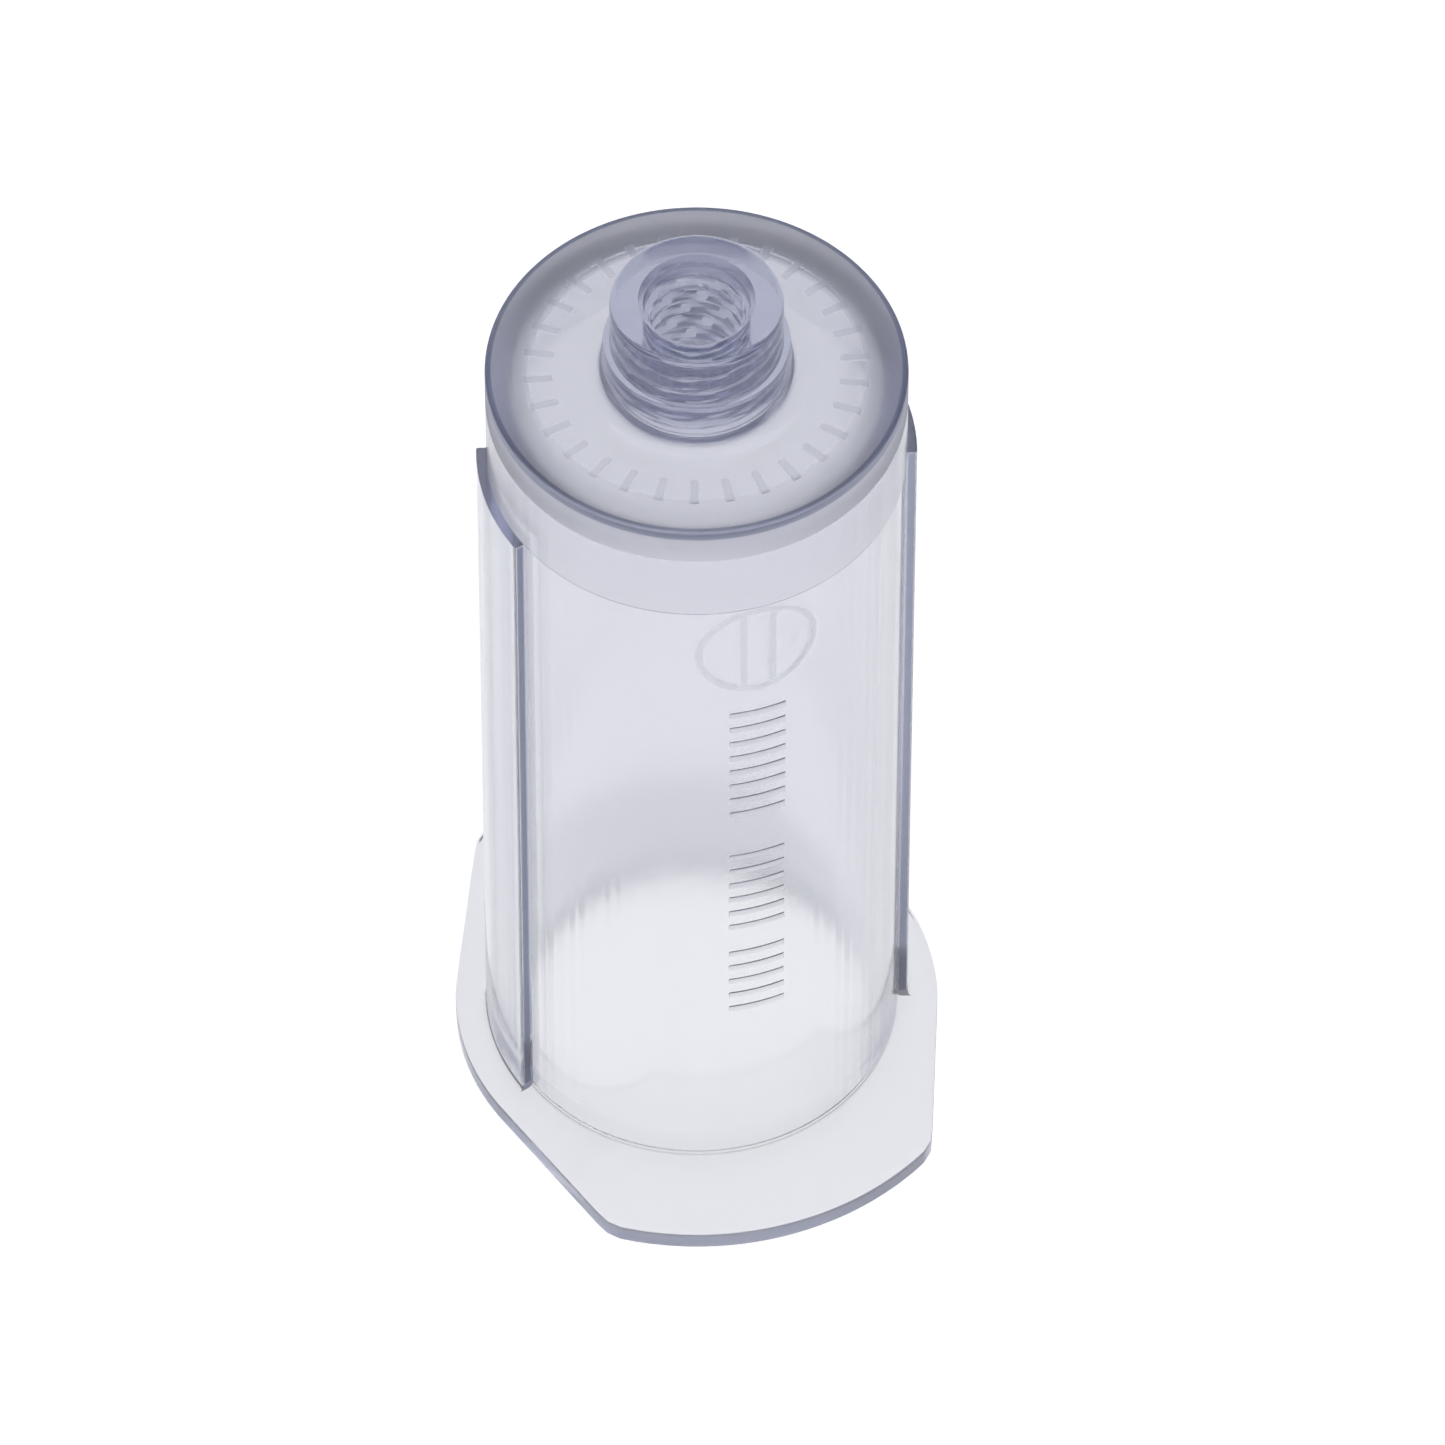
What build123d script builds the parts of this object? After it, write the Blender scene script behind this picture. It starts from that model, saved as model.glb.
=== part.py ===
from build123d import *
import os

# Single-use blood collection tube holder, millimetres, +Z up.
# It stands on its finger flange with the threaded needle hub on top.
# Origin: centre of the flange's underside. The flange is longest along Y.
# The real holder is one moulding: each node below is one of its moulded features,
# and neighbours meet face to face.

# Barrel
barrel_r = 10.42
bore_r = 9.25
top_z = 52.4
end_wall_t = 1.5
collar_r = 10.5
collar_len = 6.4
rim_round = 0.15

# Needle hub
hub_r = 4.3
hub_h = 5.3
step_r = 4.65
step_h = 2.3
step_foot = 1.4
hub_hole_r = 2.65
thread_crest_r = 2.25
thread_lead_in = 0.5
hub_round = 0.3

# Grip pads on the two sides of the barrel
pad_r = 11.0
pad_half_deg = 18.0

# Finger flange
flange_t = 1.1
flange_r = 15.65
flat_d = 12.6
front_tilt_deg = 19.5
rear_tilt_deg = 23.0
side_corner_r = flat_d
tab_corner_r = 2.0
tab_split_y = 11.5
edge_round = 0.2
foot = 0.35

# Raised marks, plain shapes only
mark_h = 0.05
face_mark_r = 7.9
face_mark_len = 1.5
face_mark_w = 0.4
face_mark_count = 30
badge_z = 42.6
badge_r = 3.25
badge_line = 0.45
badge_bar_gap = 1.5
tick_len = 2.8
tick_w = 0.4
tick_step = 1.15
tick_tops = [37.6, 26.0, 18.0]
tick_counts = [8, 6, 5]

collar_z = top_z - collar_len
wall_under_z = top_z - end_wall_t
hub_top_z = top_z + hub_h
step_top_z = top_z + step_h
thread_top_z = hub_top_z - thread_lead_in
flat_normals_deg = [-front_tilt_deg, rear_tilt_deg, 180 - rear_tilt_deg, 180 + front_tilt_deg]

os.makedirs("parts", exist_ok=True)

# The whole flange outline: a disc cut by four flats, corners rounded.
with BuildSketch(Plane.XY) as outline:
    Circle(flange_r)
    for normal_deg in flat_normals_deg:
        with PolarLocations(flat_d, 1, start_angle=normal_deg):
            Rectangle(2 * flange_r, 4 * flange_r, align=(Align.MIN, Align.CENTER), mode=Mode.SUBTRACT)
    side_tips = outline.vertices().sort_by(Axis.X)
    fillet([side_tips[0], side_tips[-1]], side_corner_r)
    tab_tips = [v for v in outline.vertices() if abs(v.Y) > tab_split_y]
    fillet(tab_tips, tab_corner_r)

# Flange: the flat plate round the open mouth of the barrel.
with BuildPart() as flange_plate:
    with BuildSketch(Plane.XY):
        add(outline.sketch)
        Circle(bore_r, mode=Mode.SUBTRACT)
        Rectangle(4 * flange_r, 2 * tab_split_y, mode=Mode.INTERSECT)
    extrude(amount=flange_t)
flange_plate.part.label = "flange_plate"
export_step(flange_plate.part, "parts/flange_plate.step")

# Two finger tabs, where the index and middle finger pull against the flange.
with BuildPart() as finger_tab_front:
    with BuildSketch(Plane.XY):
        add(outline.sketch)
        with Locations((0, -tab_split_y - flange_r)):
            Rectangle(4 * flange_r, 2 * flange_r, mode=Mode.INTERSECT)
    extrude(amount=flange_t)
    top_rim = finger_tab_front.edges().group_by(Axis.Z)[-1].filter_by(lambda e: e.center().Y < -tab_split_y)
    fillet(top_rim, edge_round)
finger_tab_front.part.label = "finger_tab_front"
export_step(finger_tab_front.part, "parts/finger_tab_front.step")

with BuildPart() as finger_tab_rear:
    with BuildSketch(Plane.XY):
        add(outline.sketch)
        with Locations((0, tab_split_y + flange_r)):
            Rectangle(4 * flange_r, 2 * flange_r, mode=Mode.INTERSECT)
    extrude(amount=flange_t)
    top_rim = finger_tab_rear.edges().group_by(Axis.Z)[-1].filter_by(lambda e: e.center().Y > tab_split_y)
    fillet(top_rim, edge_round)
finger_tab_rear.part.label = "finger_tab_rear"
export_step(finger_tab_rear.part, "parts/finger_tab_rear.step")

# Small sloped foot where the barrel grows out of the flange.
with BuildPart() as barrel_foot:
    with BuildSketch(Plane.XZ):
        with BuildLine():
            Polyline((barrel_r, flange_t), (barrel_r + foot, flange_t), (barrel_r, flange_t + foot), close=True)
        make_face()
    revolve(axis=Axis.Z)
barrel_foot.part.label = "barrel_foot"
export_step(barrel_foot.part, "parts/barrel_foot.step")

# Barrel: the plain tube between flange and collar.
with BuildPart() as barrel_tube:
    with BuildSketch(Plane.XY.offset(flange_t)):
        Circle(barrel_r)
        Circle(bore_r, mode=Mode.SUBTRACT)
    extrude(amount=collar_z - flange_t)
barrel_tube.part.label = "barrel_tube"
export_step(barrel_tube.part, "parts/barrel_tube.step")

# Grip pads: thin raised strips, one on each side, from the flange up to the collar.
with BuildPart() as grip_pad_left:
    with BuildSketch(Plane.XY.offset(flange_t)):
        with BuildLine():
            outer_arc = CenterArc((0, 0), pad_r, 180 - pad_half_deg, 2 * pad_half_deg)
            inner_arc = CenterArc((0, 0), barrel_r, 180 - pad_half_deg, 2 * pad_half_deg)
            Line(inner_arc @ 0, outer_arc @ 0)
            Line(inner_arc @ 1, outer_arc @ 1)
        make_face()
    extrude(amount=collar_z - flange_t)
    add(barrel_foot.part, mode=Mode.SUBTRACT)
grip_pad_left.part.label = "grip_pad_left"
export_step(grip_pad_left.part, "parts/grip_pad_left.step")

with BuildPart() as grip_pad_right:
    add(grip_pad_left.part.rotate(Axis.Z, 180))
grip_pad_right.part.label = "grip_pad_right"
export_step(grip_pad_right.part, "parts/grip_pad_right.step")

# Collar: the closed end's slightly prouder band.
with BuildPart() as end_collar:
    with BuildSketch(Plane.XY.offset(collar_z)):
        Circle(collar_r)
        Circle(bore_r, mode=Mode.SUBTRACT)
    extrude(amount=wall_under_z - collar_z)
end_collar.part.label = "end_collar"
export_step(end_collar.part, "parts/end_collar.step")

# End wall: the flat disc that closes the barrel, with the hub's hole through it.
with BuildPart() as end_wall:
    with BuildSketch(Plane.XY.offset(wall_under_z)):
        Circle(collar_r)
        Circle(hub_hole_r, mode=Mode.SUBTRACT)
    extrude(amount=end_wall_t)
    fillet(end_wall.edges().group_by(Axis.Z)[-1].sort_by(SortBy.RADIUS)[-1], rim_round)
end_wall.part.label = "end_wall"
export_step(end_wall.part, "parts/end_wall.step")

# Needle hub: the short boss that a double-ended needle screws into.
with BuildPart() as needle_hub:
    with BuildSketch(Plane.XY.offset(top_z)):
        Circle(hub_r)
        Circle(hub_hole_r, mode=Mode.SUBTRACT)
    extrude(amount=hub_h)
    fillet(needle_hub.edges().group_by(Axis.Z)[-1], hub_round)
needle_hub.part.label = "needle_hub"
export_step(needle_hub.part, "parts/needle_hub.step")

# Step ring round the hub's lower half, flared where it meets the end wall.
with BuildPart() as hub_step_ring:
    with BuildSketch(Plane.XZ):
        with BuildLine():
            Line((hub_r, top_z), (step_r + step_foot, top_z))
            RadiusArc((step_r + step_foot, top_z), (step_r, top_z + step_foot), step_foot)
            Line((step_r, top_z + step_foot), (step_r, step_top_z - edge_round))
            Line((step_r, step_top_z - edge_round), (step_r - edge_round, step_top_z))
            Line((step_r - edge_round, step_top_z), (hub_r, step_top_z))
            Line((hub_r, step_top_z), (hub_r, top_z))
        make_face()
    revolve(axis=Axis.Z)
hub_step_ring.part.label = "hub_step_ring"
export_step(hub_step_ring.part, "parts/hub_step_ring.step")

# Thread: the sleeve of material that the thread takes up, open at its crest radius.
with BuildPart() as hub_thread:
    with BuildSketch(Plane.XY.offset(wall_under_z)):
        Circle(hub_hole_r)
        Circle(thread_crest_r, mode=Mode.SUBTRACT)
    extrude(amount=thread_top_z - wall_under_z)
hub_thread.part.label = "hub_thread"
export_step(hub_thread.part, "parts/hub_thread.step")

# Ring of short plain bars raised on the end wall.
with BuildPart() as face_marks:
    with BuildSketch(Plane.XY.offset(top_z)):
        with PolarLocations(face_mark_r, face_mark_count):
            Rectangle(face_mark_len, face_mark_w)
    extrude(amount=mark_h)
face_marks.part.label = "face_marks"
export_step(face_marks.part, "parts/face_marks.step")

# Plain raised ring with two cross bars on the barrel, wrapped round the wall.
with BuildPart() as barrel_badge:
    with BuildSketch(Plane.XZ.offset(0.5 * barrel_r)):
        with Locations((0, badge_z)):
            Circle(badge_r)
            Circle(badge_r - badge_line, mode=Mode.SUBTRACT)
        with Locations((-0.5 * badge_bar_gap, badge_z), (0.5 * badge_bar_gap, badge_z)):
            Rectangle(badge_line, 1.7 * badge_r)
    extrude(amount=barrel_r)
    with BuildSketch(Plane.XY.offset(badge_z - 2 * badge_r)):
        Circle(barrel_r + mark_h)
        Circle(barrel_r, mode=Mode.SUBTRACT)
    extrude(amount=4 * badge_r, mode=Mode.INTERSECT)
barrel_badge.part.label = "barrel_badge"
export_step(barrel_badge.part, "parts/barrel_badge.step")

# Three groups of short plain bars in a column below the badge.
with BuildPart() as barrel_ticks:
    with BuildSketch(Plane.XZ.offset(0.5 * barrel_r)):
        for group_top, count in zip(tick_tops, tick_counts):
            with Locations([(0, group_top - i * tick_step) for i in range(count)]):
                Rectangle(tick_len, tick_w)
    extrude(amount=barrel_r)
    with BuildSketch(Plane.XY.offset(flange_t)):
        Circle(barrel_r + mark_h)
        Circle(barrel_r, mode=Mode.SUBTRACT)
    extrude(amount=collar_z - flange_t, mode=Mode.INTERSECT)
barrel_ticks.part.label = "barrel_ticks"
export_step(barrel_ticks.part, "parts/barrel_ticks.step")
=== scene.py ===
import math

import bpy
import numpy as np
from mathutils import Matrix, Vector


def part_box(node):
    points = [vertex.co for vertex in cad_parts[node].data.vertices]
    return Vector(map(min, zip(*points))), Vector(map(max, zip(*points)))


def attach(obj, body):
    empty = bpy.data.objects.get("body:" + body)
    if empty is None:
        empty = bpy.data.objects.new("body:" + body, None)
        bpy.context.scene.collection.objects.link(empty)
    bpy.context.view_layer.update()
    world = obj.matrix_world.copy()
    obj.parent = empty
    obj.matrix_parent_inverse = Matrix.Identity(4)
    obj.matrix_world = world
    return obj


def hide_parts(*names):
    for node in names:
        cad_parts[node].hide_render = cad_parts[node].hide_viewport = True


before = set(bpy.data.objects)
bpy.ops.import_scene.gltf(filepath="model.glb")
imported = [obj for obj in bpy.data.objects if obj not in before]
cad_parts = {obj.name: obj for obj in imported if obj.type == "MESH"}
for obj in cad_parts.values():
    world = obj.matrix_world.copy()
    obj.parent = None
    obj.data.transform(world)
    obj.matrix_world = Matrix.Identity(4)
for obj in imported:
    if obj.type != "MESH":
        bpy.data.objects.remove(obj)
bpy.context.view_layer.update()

# ---------------------------------------------------------------------------------------------
# The holder's moulding: one clear injection-moulded piece, barrel, flange and hub together.
# Its surface is one closed sheet: it runs out under the flange, up the outside of the barrel,
# over the end wall and the hub, and down again inside the thread and the bore.
# ---------------------------------------------------------------------------------------------

MM = 0.001
flange_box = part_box("flange_plate")
tab_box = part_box("finger_tab_front")
wall_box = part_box("end_wall")
collar_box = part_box("end_collar")
barrel_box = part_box("barrel_tube")
pad_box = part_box("grip_pad_right")
foot_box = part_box("barrel_foot")
hub_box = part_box("needle_hub")
step_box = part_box("hub_step_ring")
thread_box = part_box("hub_thread")
badge_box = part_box("barrel_badge")

BORE_R = 9.25 * MM
HUB_HOLE_R = thread_box[1][0]
THREAD_CREST_R = 2.25 * MM
THREAD_PITCH = 1.0 * MM
BARREL_R = barrel_box[1][0]
COLLAR_R = collar_box[1][0]
PAD_R = pad_box[1][0]
PAD_HALF_DEG = 18.0
PAD_EDGE_DEG = [-0.5, -0.12, 0.0, 0.06]
FLANGE_T = flange_box[1][2]
FLANGE_R = -tab_box[0][1]
FLAT_D = flange_box[1][0]
FRONT_TILT_DEG, REAR_TILT_DEG = 19.5, 23.0
FOOT_R = foot_box[1][0] - BARREL_R
COLLAR_Z = collar_box[0][2]
WALL_UNDER_Z = wall_box[0][2]
WALL_Z = wall_box[1][2]
HUB_R = hub_box[1][0]
HUB_Z = hub_box[1][2]
STEP_Z = step_box[1][2]
STEP_R = 4.65 * MM
STEP_FOOT = step_box[1][0] - STEP_R
RIM_ROUND = 0.15 * MM
MARK_H = 0.05 * MM
BAR_STEP_DEG = 12.0
BAR_TOP_DEG, BAR_FOOT_DEG = 1.3, 1.65
BAR_INNER_R, BAR_OUTER_R = 7.15 * MM, 8.65 * MM
TICK_TOP_DEG, TICK_FOOT_DEG = 7.9, 8.2


def fade(x):
    """Eased step: 0 below 0, 1 above 1, and 3x^2 - 2x^3 between."""
    x = np.clip(x, 0.0, 1.0)
    return x * x * (3.0 - 2.0 * x)


def column_degrees():
    """Angles of the grid's columns, in degrees from the front tab, anticlockwise from above.

    Two columns between each two bars of the end wall, plus close sets at every edge that runs up the
    barrel or out along the end wall: the 30 bars, the grip pads' sides, and the ticks and the badge.
    """
    between_bars = np.arange(0.0, 360.0, BAR_STEP_DEG)[:, None]
    net = (between_bars + np.array([-1.4, 1.4])).ravel()
    bar_edges = np.array([-1.85, -BAR_FOOT_DEG, -BAR_TOP_DEG, BAR_TOP_DEG, BAR_FOOT_DEG, 1.85])
    bars = (between_bars + 0.5 * BAR_STEP_DEG + bar_edges).ravel()
    pad_edge = PAD_HALF_DEG + np.array(PAD_EDGE_DEG)
    pads = np.concatenate([90.0 - pad_edge, 90.0 + pad_edge, 270.0 - pad_edge, 270.0 + pad_edge])
    ticks = np.array([-8.35, -TICK_FOOT_DEG, -TICK_TOP_DEG, TICK_TOP_DEG, TICK_FOOT_DEG, 8.35])
    badge = np.arange(-18.75, 18.8, 0.75)
    return np.unique(np.round(np.concatenate([net, bars, pads, ticks, badge]) % 360.0, 3))


theta_deg = column_degrees()
theta = np.radians(theta_deg)
front_deg = (theta_deg + 180.0) % 360.0 - 180.0


def rounded_least(a, b, power):
    """The lesser of two radii, blended where they meet: least * (1 + (least / most)^p)^(-1/p)."""
    least, most = np.minimum(a, b), np.maximum(a, b)
    return least * (1.0 + (least / most) ** power) ** (-1.0 / power)


def flange_outline():
    """Radius of the flange's edge at each column, in polar form.

    Each side is an arc about the axis. Past its end the edge runs straight on, d / cos(t - n) for a
    line at distance d whose normal is at angle n, as far as the arc of the finger tab.
    """
    from_side = np.abs(front_deg) - 90.0
    arc_end = np.where(from_side < 0.0, FRONT_TILT_DEG, REAR_TILT_DEG)
    past_arc = np.radians(np.clip(np.abs(from_side) - arc_end, 0.0, 75.0))
    tab_corner_power = 96.0
    return rounded_least(FLANGE_R, FLAT_D / np.cos(past_arc), tab_corner_power)


def pad_rise():
    """How far the grip pads carry the barrel's radius out, 0 to 1, with a small round at their edges."""
    past_edge = np.abs(np.abs(front_deg) - 90.0) - PAD_HALF_DEG
    return np.interp(past_edge, PAD_EDGE_DEG, [1.0, 0.93, 0.76, 0.0])


def profile_arc(r, z, radius, start_deg, end_deg, steps):
    """Rows on a circular arc about (r, z), from one angle to the other; 0 points outwards, 90 up."""
    turn = np.radians(np.linspace(start_deg, end_deg, steps))
    return [(r + radius * math.cos(a), z + radius * math.sin(a)) for a in turn]


def flange_rows():
    """Rows from the mouth of the bore, out under the flange, round its edge and up its foot."""
    edge = flange_outline()
    body = BARREL_R + (PAD_R - BARREL_R) * pad_rise()
    low, high, hold = 0.12 * MM, 0.2 * MM, 0.03 * MM
    mouth = 0.25 * MM
    rows = profile_arc(BORE_R + mouth, mouth, mouth, 180.0, 270.0, 5)
    rows += [(BORE_R + mouth + hold, 0.0)]
    rows += [((1.0 - k) * (BORE_R + mouth) + k * (edge - low), 0.0) for k in (0.35, 0.7)]
    rows += [(edge - low - hold, 0.0)]
    rows += profile_arc(edge - low, low, low, -90.0, 0.0, 4)
    rows += [(edge, low + hold), (edge, FLANGE_T - high - hold)]
    rows += profile_arc(edge - high, FLANGE_T - high, high, 0.0, 90.0, 5)
    rows += [(edge - high - hold, FLANGE_T)]
    foot = body + FOOT_R
    rows += [((1.0 - k) * (edge - high) + k * foot, FLANGE_T) for k in (0.3, 0.6)]
    rows += [(foot + hold, FLANGE_T)]
    rows += profile_arc(foot, FLANGE_T + FOOT_R, FOOT_R, 270.0, 180.0, 8)
    return rows


def badge_height(z):
    """Height of the raised badge at one level: a ring and two upright bars with eased sides."""
    x = np.radians(front_deg) * BARREL_R
    y = z - 0.5 * (badge_box[0][2] + badge_box[1][2])
    line = 0.45 * MM
    radius = 0.5 * (badge_box[1][2] - badge_box[0][2]) - 0.5 * line
    to_ring = np.abs(np.hypot(x, y) - radius)
    to_bar = np.maximum(np.abs(np.abs(x) - 0.75 * MM), np.abs(y) - 2.55 * MM)
    nearest = np.minimum(to_ring, to_bar)
    return MARK_H * fade(1.4 - 2.0 * nearest / line)


def barrel_rows():
    """Rows up the outside of the barrel, past ticks and badge, to the ledge under the collar."""
    body = BARREL_R + (PAD_R - BARREL_R) * pad_rise()
    across = np.interp(np.abs(front_deg), [TICK_TOP_DEG, TICK_FOOT_DEG], [1.0, 0.0])
    tick_tops = [37.6 * MM, 26.0 * MM, 18.0 * MM]
    tick_counts = [8, 6, 5]
    tick_step, tick_half, side, hold = 1.15 * MM, 0.17 * MM, 0.05 * MM, 0.03 * MM
    centres = [top - i * tick_step for top, count in zip(tick_tops, tick_counts) for i in range(count)]
    rows = [(body, FLANGE_T + FOOT_R + 0.03 * MM)]
    for z in sorted(centres):
        rows += [(body, z - tick_half - side - hold), (body, z - tick_half - side)]
        rows += [(body + MARK_H * across, z - tick_half), (body + MARK_H * across, z + tick_half)]
        rows += [(body, z + tick_half + side), (body, z + tick_half + side + hold)]
    badge_levels = np.linspace(badge_box[0][2] - 0.1 * MM, badge_box[1][2] + 0.1 * MM, 44)
    rows += [(body + badge_height(z), z) for z in badge_levels]
    rows += [(body, COLLAR_Z - 0.03 * MM), (body, COLLAR_Z)]
    return rows


def end_rows():
    """Rows up the collar, over its rim and in across the end wall with its ring of raised bars."""
    rim, hold = RIM_ROUND, 0.03 * MM
    from_bar = np.abs(theta_deg % BAR_STEP_DEG - 0.5 * BAR_STEP_DEG)
    bar = np.interp(from_bar, [BAR_TOP_DEG, BAR_FOOT_DEG], [1.0, 0.0])
    side = 0.05 * MM
    rows = [(COLLAR_R, COLLAR_Z), (COLLAR_R, COLLAR_Z + hold), (COLLAR_R, WALL_Z - rim - hold)]
    rows += profile_arc(COLLAR_R - rim, WALL_Z - rim, rim, 0.0, 90.0, 9)
    rows += [(COLLAR_R - rim - hold, WALL_Z)]
    rows += [(BAR_OUTER_R + hold, WALL_Z), (BAR_OUTER_R, WALL_Z)]
    rows += [(BAR_OUTER_R - side, WALL_Z + MARK_H * bar), (BAR_INNER_R + side, WALL_Z + MARK_H * bar)]
    rows += [(BAR_INNER_R, WALL_Z), (BAR_INNER_R - hold, WALL_Z)]
    return rows


def hub_rows():
    """Rows up the hub: its flared step ring, the ledge above it, the boss and its open mouth."""
    hold, flare, corner = 0.03 * MM, STEP_FOOT, 0.15 * MM
    rows = [(STEP_R + flare + hold, WALL_Z)]
    rows += profile_arc(STEP_R + flare, WALL_Z + flare, flare, 270.0, 180.0, 10)
    rows += [(STEP_R, WALL_Z + flare + hold), (STEP_R, STEP_Z - corner - hold)]
    rows += profile_arc(STEP_R - corner, STEP_Z - corner, corner, 0.0, 90.0, 4)
    rows += [(HUB_R + 0.1 * MM, STEP_Z)]
    rows += profile_arc(HUB_R + 0.1 * MM, STEP_Z + 0.1 * MM, 0.1 * MM, 270.0, 180.0, 4)[1:]
    top = 0.3 * MM
    rows += [(HUB_R, STEP_Z + 0.15 * MM), (HUB_R, HUB_Z - top - hold)]
    rows += profile_arc(HUB_R - top, HUB_Z - top, top, 0.0, 90.0, 7)
    rows += [(HUB_R - top - hold, HUB_Z), (HUB_HOLE_R + 0.28 * MM, HUB_Z), (HUB_HOLE_R + 0.25 * MM, HUB_Z)]
    rows += [(HUB_HOLE_R, HUB_Z - 0.25 * MM)]
    return rows


def thread_rows():
    """Rows down the threaded hole.

    A right-handed helix: at height z and angle t the place in the pitch is z / pitch - t / turn.
    The tooth is a flat crest, two flanks and a flat root, and it fades out at both ends.
    """
    low, high = thread_box[0][2], thread_box[1][2]
    rows = []
    for z in np.linspace(high, low + 0.25 * MM, 52):
        place = (z / THREAD_PITCH - theta / math.tau) % 1.0
        tooth = fade((0.42 - np.abs(place - 0.5)) / 0.34)
        ends = fade((high - z) / (0.6 * MM)) * fade((z - low - 0.3 * MM) / (0.6 * MM))
        rows.append((HUB_HOLE_R - (HUB_HOLE_R - THREAD_CREST_R) * tooth * ends, z))
    return rows


def bore_rows():
    """Rows out under the end wall and down the plain bore to the mouth."""
    corner, hold = 0.7 * MM, 0.03 * MM
    rows = profile_arc(HUB_HOLE_R + 0.1 * MM, WALL_UNDER_Z + 0.1 * MM, 0.1 * MM, 180.0, 270.0, 4)
    rows += [(HUB_HOLE_R + 0.15 * MM, WALL_UNDER_Z), (BORE_R - corner - hold, WALL_UNDER_Z)]
    rows += profile_arc(BORE_R - corner, WALL_UNDER_Z - corner, corner, 90.0, 0.0, 9)
    rows += [(BORE_R, WALL_UNDER_Z - corner - hold), (BORE_R, COLLAR_Z), (BORE_R, 0.5 * COLLAR_Z)]
    rows += [(BORE_R, 0.28 * MM)]
    return rows


def closed_sheet(name, rows):
    """Mesh from rows of (radius, height), each carried once round the axis, the last joined to the first.

    A point is (r sin t, -r cos t, z), with t from the front tab.
    """
    radius = np.stack([np.broadcast_to(r, theta.shape) for r, _ in rows])
    height = np.stack([np.broadcast_to(z, theta.shape) for _, z in rows])
    points = np.stack([radius * np.sin(theta), -radius * np.cos(theta), height], axis=-1).reshape(-1, 3)
    count, around = radius.shape
    i, j = np.meshgrid(np.arange(count), np.arange(around), indexing="ij")
    up, on = (i + 1) % count, (j + 1) % around
    quads = np.stack([i * around + j, i * around + on, up * around + on, up * around + j], axis=-1)
    mesh = bpy.data.meshes.new(name)
    mesh.from_pydata(points.tolist(), [], quads.reshape(-1, 4).tolist())
    mesh.update()
    return mesh


rows = flange_rows() + barrel_rows() + end_rows() + hub_rows() + thread_rows() + bore_rows()
moulding_mesh = closed_sheet("holder_moulding", rows)
moulding_mesh.polygons.foreach_set("use_smooth", np.ones(len(moulding_mesh.polygons), dtype=bool))
moulding_mesh.set_sharp_from_angle(angle=math.radians(38.0))
moulding = bpy.data.objects.new("holder_moulding", moulding_mesh)
bpy.context.collection.objects.link(moulding)


class Wire:
    """A node's output. Arithmetic on it adds Math nodes, and node() adds any other kind of node."""

    tree = None

    def __init__(self, socket):
        self.socket = socket

    @classmethod
    def node(cls, kind, settings, inputs, output=0):
        """Add a node: its settings are made first, then each input gets a value or another wire."""
        made = cls.tree.nodes.new(kind)
        for name, value in settings.items():
            setattr(made, name, value)
        for name, value in inputs.items():
            if isinstance(value, Wire):
                cls.tree.links.new(value.socket, made.inputs[name])
            else:
                made.inputs[name].default_value = value
        return cls(made.outputs[output])

    def twin(self, output):
        """Another output of the same node."""
        return Wire(self.socket.node.outputs[output])

    def math(self, operation, other, swapped=False):
        pair = (other, self) if swapped else (self, other)
        return Wire.node("ShaderNodeMath", {"operation": operation}, {0: pair[0], 1: pair[1]})

    def __add__(self, other):
        return self.math("ADD", other)

    def __sub__(self, other):
        return self.math("SUBTRACT", other)

    def __mul__(self, other):
        return self.math("MULTIPLY", other)

    def __pow__(self, other):
        return self.math("POWER", other)

    def __radd__(self, other):
        return self.math("ADD", other, swapped=True)

    def __rsub__(self, other):
        return self.math("SUBTRACT", other, swapped=True)

    def __rmul__(self, other):
        return self.math("MULTIPLY", other, swapped=True)


def rise(value, low, high):
    """Eased 0 to 1 as a value passes from low to high."""
    ends = {"Value": value, "From Min": low, "From Max": high}
    return Wire.node("ShaderNodeMapRange", {"interpolation_type": "SMOOTHSTEP"}, ends)


def toned(share, plain, tone):
    """A colour that goes from plain to tone by a share, 0 to 1."""
    return Wire.node("ShaderNodeMix", {"data_type": "RGBA"}, {0: share, 6: plain, 7: tone}, output=2)


clear = bpy.data.materials.new("clear_lilac_styrene")
clear.use_nodes = True
Wire.tree = clear.node_tree

place = Wire.node("ShaderNodeTexCoord", {}, {}, output="Object")
x = Wire.node("ShaderNodeSeparateXYZ", {}, {0: place})
y = x.twin("Y")
z = x.twin("Z")
from_axis = (x * x + y * y) ** 0.5

# The collar's outside is finely blasted in the mould, and so are the tops of the raised marks.
collar_side = rise(from_axis, COLLAR_R - 0.3 * MM, COLLAR_R - 0.2 * MM)
below_rim = 1.0 - rise(z, WALL_Z - 0.6 * MM, WALL_Z - 0.5 * MM)
collar_band = rise(z, COLLAR_Z - 0.02 * MM, COLLAR_Z + 0.02 * MM) * below_rim * collar_side
on_bars = rise(z, WALL_Z + 0.01 * MM, WALL_Z + MARK_H) * rise(from_axis, 6.6 * MM, 6.9 * MM)
proud = rise(from_axis, BARREL_R + 0.01 * MM, BARREL_R + MARK_H)
at_front = rise(-1.0 * y, 9.0 * MM, 9.2 * MM)
clear_of_foot = rise(z, 3.0 * MM, 3.2 * MM)
below_collar = 1.0 - rise(z, COLLAR_Z - 0.1 * MM, COLLAR_Z - 0.05 * MM)
on_marks = proud * at_front * clear_of_foot * below_collar
satin = on_bars + on_marks

# The end wall is a little hazy towards its rim.
outer_zone = rise(from_axis, 6.3 * MM, 7.4 * MM) * rise(z, WALL_Z - 0.05 * MM, WALL_Z - 0.02 * MM)

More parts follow.
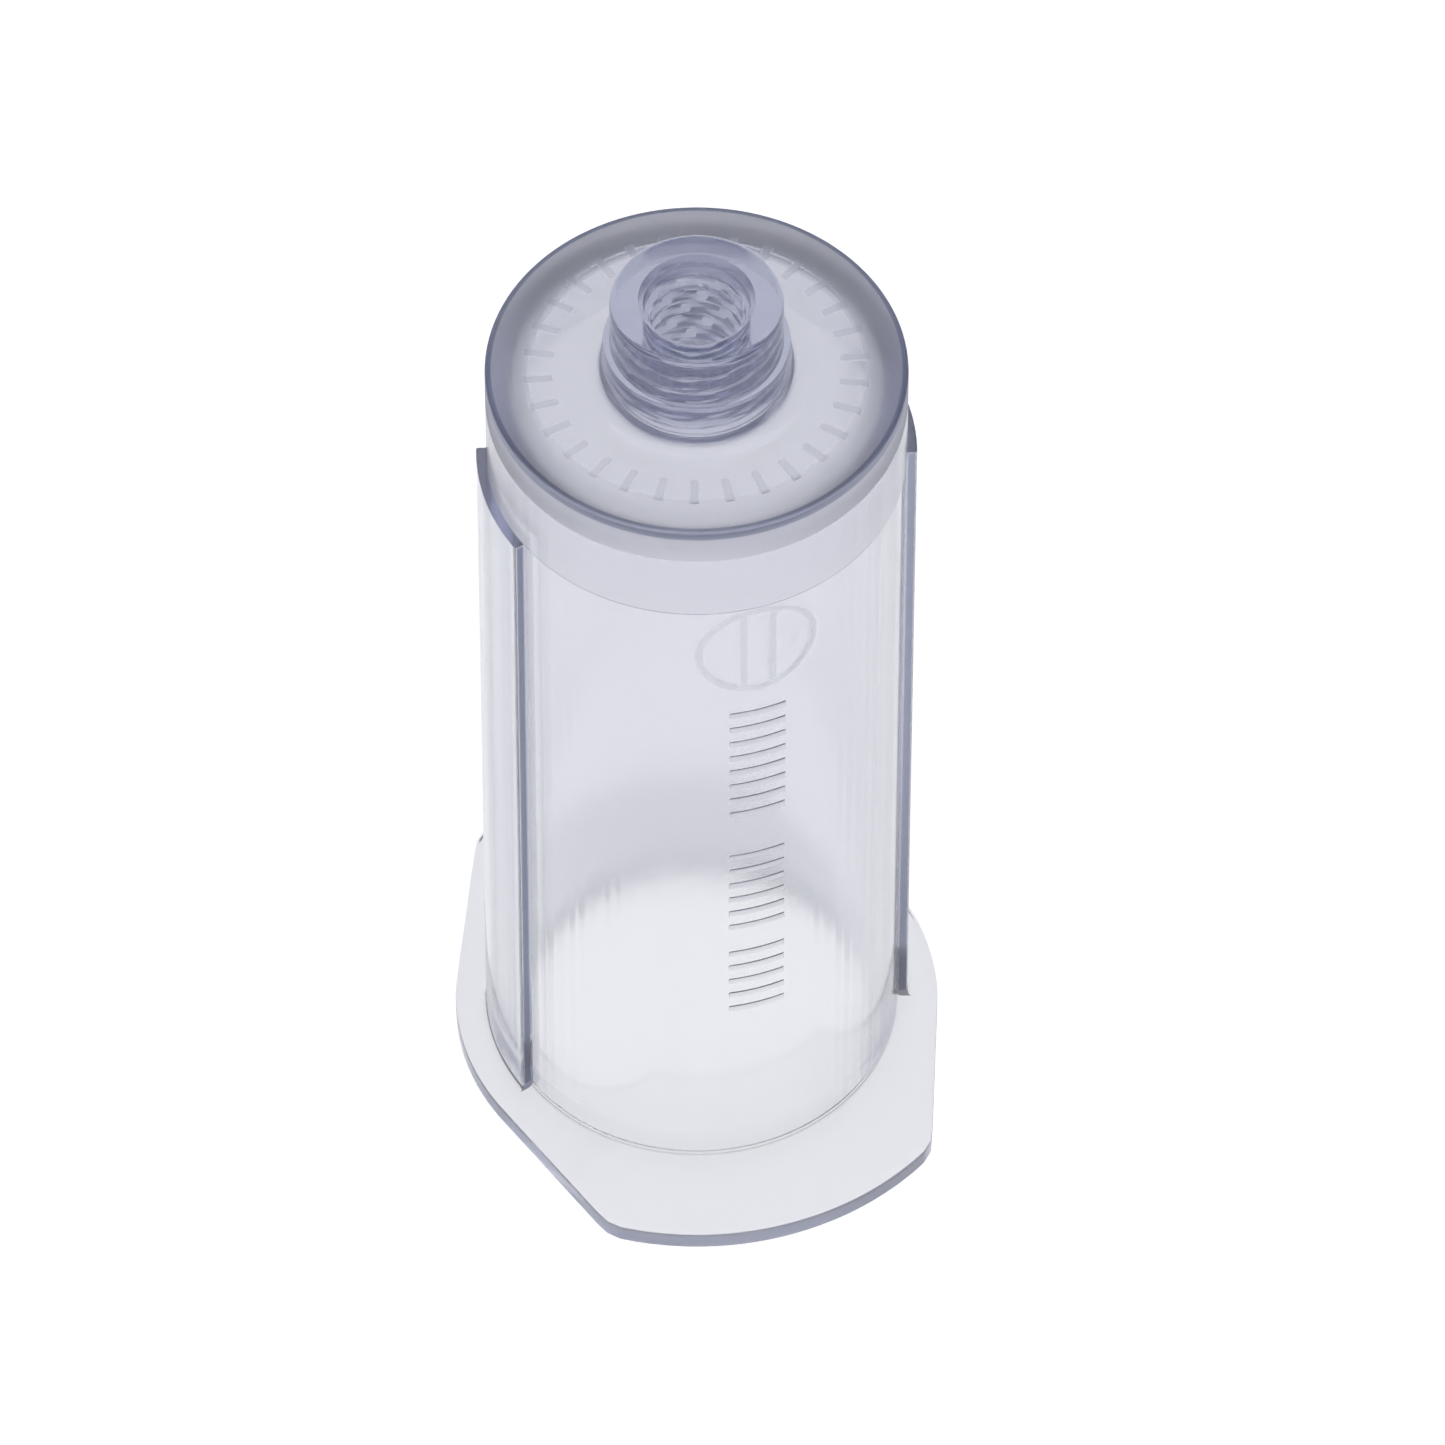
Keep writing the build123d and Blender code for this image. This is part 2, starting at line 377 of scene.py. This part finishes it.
# The corner under the end wall, and the outer part of the wall above it, are left less polished.
at_wall = rise(z, WALL_UNDER_Z - 0.8 * MM, WALL_UNDER_Z - 0.6 * MM)
under_corner = rise(from_axis, 8.3 * MM, 8.6 * MM) * at_wall

# Painted shade on the rim, the pads' sides and the flange's edge: their colour is darkened and blued to stand
# for the dark look these faces take on when seen edge-on through the length of the plastic. The pads' sides
# are also made rougher.
near_top = rise(z, WALL_Z - 0.6 * MM, WALL_Z - 0.5 * MM)
rim_painted_shade = rise(from_axis, COLLAR_R - 0.35 * MM, COLLAR_R - 0.25 * MM) * near_top
off_barrel = rise(from_axis, BARREL_R + 0.10 * MM, BARREL_R + 0.16 * MM)
inside_pad = 1.0 - rise(from_axis, PAD_R - 0.12 * MM, PAD_R - 0.06 * MM)
pad_side = off_barrel * inside_pad * rise(z, 1.5 * MM, 1.7 * MM) * below_collar
below_flange_top = 1.0 - rise(z, 0.9 * MM, 1.0 * MM)
flange_edge_painted_shade = rise(from_axis, 11.6 * MM, 11.8 * MM) * rise(z, 0.1 * MM, 0.2 * MM) * below_flange_top

# Painted shade on the hub, the thickest part, and on the threaded hole: their colour is darkened and blued to
# stand for the shade seen there.
hub_body = rise(z, WALL_Z + 0.8 * MM, WALL_Z + 1.7 * MM)
thread_wall = 1.0 - rise(from_axis, HUB_HOLE_R + 0.03 * MM, HUB_HOLE_R + 0.1 * MM)
hub_painted_shade = hub_body.math("MAXIMUM", thread_wall)

# Faint lines along the draw of the mould, and a fine grain.
along_draw = Wire.node("ShaderNodeVectorMath", {"operation": "MULTIPLY"}, {0: place, 1: (900.0, 900.0, 45.0)})
draw_lines = Wire.node("ShaderNodeTexNoise", {}, {"Vector": along_draw, "Scale": 1.0, "Detail": 2.0})
grain = Wire.node("ShaderNodeTexNoise", {}, {"Vector": place, "Scale": 2600.0, "Detail": 3.0})

clear_tone = toned(draw_lines * 0.6, (0.955, 0.955, 0.96, 1.0), (0.925, 0.925, 0.935, 1.0))
with_zone = toned(outer_zone, clear_tone, (0.95, 0.95, 0.965, 1.0))
with_collar = toned(collar_band, with_zone, (0.815, 0.815, 0.86, 1.0))
with_satin = toned(satin, with_collar, (0.84, 0.84, 0.875, 1.0))
# Painted shade: the rim's colour is darkened and blued.
with_rim = toned(rim_painted_shade, with_satin, (0.33, 0.36, 0.49, 1.0))
# Painted shade: the pads' sides are darkened and blued.
with_sides = toned(pad_side, with_rim, (0.42, 0.45, 0.58, 1.0))
# Painted shade: the flange's edge is blued.
with_edges = toned(flange_edge_painted_shade, with_sides, (0.74, 0.77, 0.90, 1.0))
# Painted shade on the hub and the threaded hole.
tone = toned(hub_painted_shade, with_edges, (0.55, 0.57, 0.68, 1.0))
polish = 0.09 + 0.04 * grain + 0.03 * draw_lines
matte = 0.10 * collar_band + 0.08 * outer_zone + 0.2 * satin + 0.34 * under_corner + 0.25 * pad_side
roughness = polish + matte
waves = Wire.node("ShaderNodeBump", {}, {"Strength": 0.07, "Distance": 0.02 * MM, "Height": draw_lines})

bsdf = clear.node_tree.nodes["Principled BSDF"]
bsdf.inputs["Transmission Weight"].default_value = 0.88
bsdf.inputs["IOR"].default_value = 1.55
for name, wire in {"Base Color": tone, "Roughness": roughness, "Normal": waves}.items():
    clear.node_tree.links.new(wire.socket, bsdf.inputs[name])
depth_tint = {"Color": (0.72, 0.735, 0.87, 1.0), "Density": 55.0}
absorption = Wire.node("ShaderNodeVolumeAbsorption", {}, depth_tint)
clear.node_tree.links.new(absorption.socket, clear.node_tree.nodes["Material Output"].inputs["Volume"])
moulding_mesh.materials.append(clear)

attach(moulding, "root")
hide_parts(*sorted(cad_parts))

# ---------------------------------------------------------------------------------------------
# Floor, light and camera.
# ---------------------------------------------------------------------------------------------

floor_mesh = bpy.data.meshes.new("floor")
side = 2.0
corners = [(-side, -side, 0), (side, -side, 0), (side, side, 0), (-side, side, 0)]
floor_mesh.from_pydata(corners, [], [(0, 1, 2, 3)])
floor = bpy.data.objects.new("floor", floor_mesh)
floor.location = (0, 0, -0.0002)
bpy.context.collection.objects.link(floor)
floor_paint = bpy.data.materials.new("floor_paint")
floor_paint.use_nodes = True
paint = floor_paint.node_tree.nodes["Principled BSDF"]
paint.inputs["Base Color"].default_value = (0.5, 0.5, 0.5, 1)
paint.inputs["Roughness"].default_value = 0.9
paint.inputs["Specular IOR Level"].default_value = 0.0
paint.inputs["Emission Color"].default_value = (1, 1, 1, 1)
paint.inputs["Emission Strength"].default_value = 0.85
floor_mesh.materials.append(floor_paint)

world = bpy.data.worlds.new("studio")
bpy.context.scene.world = world
world.use_nodes = True
world.node_tree.nodes["Background"].inputs["Color"].default_value = (0.30, 0.32, 0.42, 1)
world.node_tree.nodes["Background"].inputs["Strength"].default_value = 1.0


def softbox(name, azimuth_deg, elevation_deg, distance, size, power):
    """A square area light at a direction and distance, facing the holder."""
    light = bpy.data.lights.new(name, "AREA")
    light.shape = "SQUARE"
    light.size = size
    light.energy = power
    lamp = bpy.data.objects.new(name, light)
    a, e = math.radians(azimuth_deg), math.radians(elevation_deg)
    out = Vector((math.sin(a) * math.cos(e), -math.cos(a) * math.cos(e), math.sin(e)))
    lamp.location = out * distance
    lamp.rotation_euler = out.to_track_quat("Z", "Y").to_euler()
    bpy.context.collection.objects.link(lamp)


softbox("overhead", 0.0, 88.0, 1.0, 1.0, 2.5)

azimuth, elevation, distance = math.radians(-17.2), math.radians(51.8), 0.737
aim = Vector((0, 0, 0.0255))
level = math.cos(elevation)
back = Vector((math.sin(azimuth) * level, -math.cos(azimuth) * level, math.sin(elevation)))
camera_data = bpy.data.cameras.new("camera")
camera_data.lens = 360.4
camera_data.sensor_width = 36.0
camera_data.shift_x = 0.0179
camera_data.shift_y = -0.0125
camera_data.clip_start = 0.01
camera = bpy.data.objects.new("camera", camera_data)
camera.location = aim + back * distance
camera.rotation_euler = back.to_track_quat("Z", "Y").to_euler()
bpy.context.collection.objects.link(camera)
bpy.context.scene.camera = camera
bpy.context.scene.view_settings.view_transform = "Standard"
